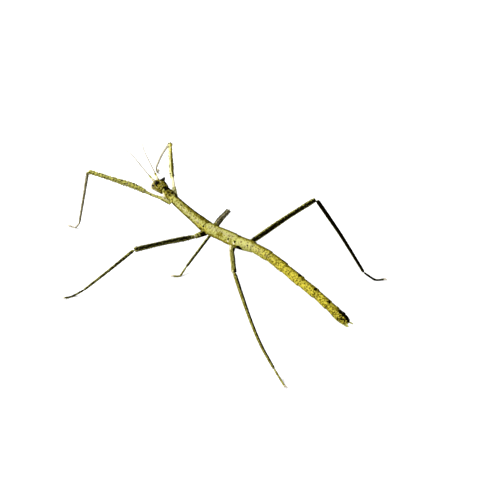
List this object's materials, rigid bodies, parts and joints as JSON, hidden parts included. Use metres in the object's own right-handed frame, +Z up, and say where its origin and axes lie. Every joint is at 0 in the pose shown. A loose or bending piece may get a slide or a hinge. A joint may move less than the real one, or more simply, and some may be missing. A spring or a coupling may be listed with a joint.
{
  "type": "stick insect",
  "caption": "Still, life-size model of a long green-brown female walking stick, standing on jointed legs, with short horns and thin feelers on its head.",
  "frame": {"origin": "on the floor, under the middle of the box of the whole animal with its legs and feelers", "axes": "+Z up, the head towards -Y, the animal's left side towards +X"},
  "size_m": [0.0956, 0.1374, 0.0374],
  "materials": {
    "cuticle": "granular cuticle, yellow-green with dark flecks",
    "limb": "granular cuticle, olive with dark and pale bands",
    "feeler": "smooth pale cuticle",
    "horn": "dark, slightly glossy cuticle",
    "eye": "glossy, dark",
    "claw": "smooth horn"
  },
  "bodies": {
    "root": {"head": "cuticle", "labrum": "cuticle", "palp_left": "feeler", "palp_right": "feeler", "eye_left": "eye", "eye_right": "eye", "horn_left": "horn", "horn_right": "horn", "scape_left": "feeler", "scape_right": "feeler", "flagellum_left": "feeler", "flagellum_right": "feeler", "prothorax": "cuticle", "mesothorax": "cuticle", "metathorax": "cuticle", "abdomen_2": "cuticle", "abdomen_3": "cuticle", "abdomen_4": "cuticle", "abdomen_5": "cuticle", "abdomen_6": "cuticle", "abdomen_7": "cuticle", "abdomen_8": "cuticle", "abdomen_9": "cuticle", "abdomen_10": "cuticle", "operculum": "cuticle", "cercus_left": "limb", "cercus_right": "limb", "front_left_coxa": "limb", "front_left_femur": "limb", "front_left_tibia": "limb", "front_left_tarsus": "limb", "front_left_claws": "claw", "front_right_coxa": "limb", "front_right_femur": "limb", "front_right_tibia": "limb", "front_right_tarsus": "limb", "front_right_claws": "claw", "middle_left_coxa": "limb", "middle_left_femur": "limb", "middle_left_tibia": "limb", "middle_left_tarsus": "limb", "middle_left_claws": "claw", "middle_right_coxa": "limb", "middle_right_femur": "limb", "middle_right_tibia": "limb", "middle_right_tarsus": "limb", "middle_right_claws": "claw", "hind_left_coxa": "limb", "hind_left_femur": "limb", "hind_left_tibia": "limb", "hind_left_tarsus": "limb", "hind_left_claws": "claw", "hind_right_coxa": "limb", "hind_right_femur": "limb", "hind_right_tibia": "limb", "hind_right_tarsus": "limb", "hind_right_claws": "claw"}
  },
  "joints": []
}
